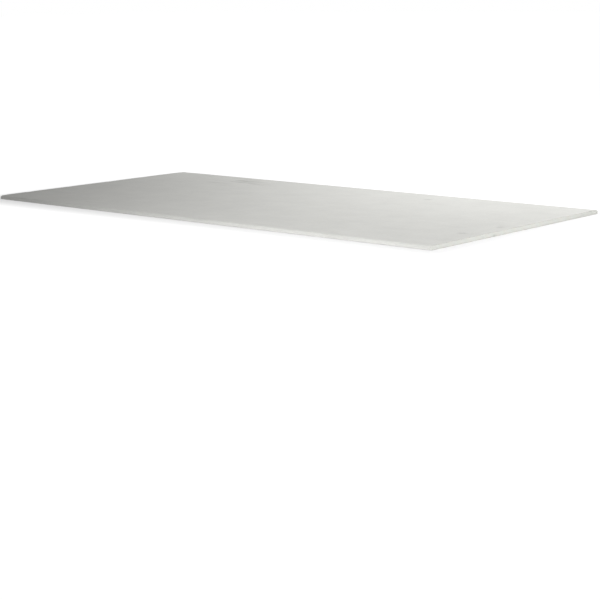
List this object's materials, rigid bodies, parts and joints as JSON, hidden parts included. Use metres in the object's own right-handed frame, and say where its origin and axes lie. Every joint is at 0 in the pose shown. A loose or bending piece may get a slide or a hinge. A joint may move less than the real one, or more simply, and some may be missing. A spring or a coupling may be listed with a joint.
{
  "type": "drywall sheet",
  "caption": "Flat gypsum drywall sheet with paper-wrapped half-round tapered long edges and square-cut ends, for lining walls and ceilings.",
  "frame": {"origin": "middle of the back of the sheet, which lies on the floor", "axes": "+X along the length, +Y across the width, +Z out of the face"},
  "size_m": [2.5, 1.25, 0.018],
  "materials": {
    "liner_paper": "matte"
  },
  "bodies": {
    "root": {"drywall_sheet": "liner_paper"}
  },
  "joints": []
}
